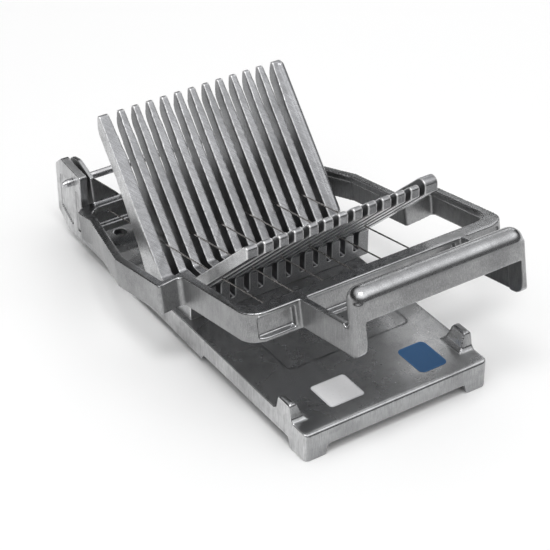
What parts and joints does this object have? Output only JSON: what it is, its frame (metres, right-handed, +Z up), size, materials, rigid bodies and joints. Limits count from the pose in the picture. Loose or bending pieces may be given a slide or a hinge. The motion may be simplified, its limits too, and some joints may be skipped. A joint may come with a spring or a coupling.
{
  "type": "wire cheese slicer",
  "caption": "Cast aluminium wire slicer: a block of cheese lies in a finned V cradle and a hinged arm pulls parallel wires down between the fins.",
  "frame": {"origin": "on the top of the sunken deck, midway between the axes of the two bolt holes; the bench is 10.5 mm below", "axes": "+X to the right along the hinge rod, +Y to the rear towards the hinge, +Z up"},
  "size_m": [0.1877, 0.2844, 0.1038],
  "materials": {
    "base_cast": "satin",
    "cradle_cast": "brushed",
    "arm_cast": "satin",
    "rod_steel": "polished",
    "wire_steel": "polished",
    "screw_steel": "satin"
  },
  "bodies": {
    "base": {"base_casting": "base_cast", "cradle_casting": "cradle_cast", "hinge_rod": "rod_steel", "cradle_screws": "screw_steel"},
    "arm": {"arm_casting": "arm_cast", "wire_1": "wire_steel", "wire_2": "wire_steel", "wire_3": "wire_steel", "wire_4": "wire_steel", "wire_5": "wire_steel", "wire_6": "wire_steel", "wire_sleeves": "screw_steel", "set_screws": "screw_steel", "tension_studs": "screw_steel", "tension_nuts": "screw_steel"}
  },
  "joints": [
    {"name": "arm_hinge", "type": "hinge", "parent": "base", "child": "arm", "pos_m": [0, 0.0189, 0.033], "axis": [-1, 0, 0], "range_deg": [-9.5, 89]}
  ]
}
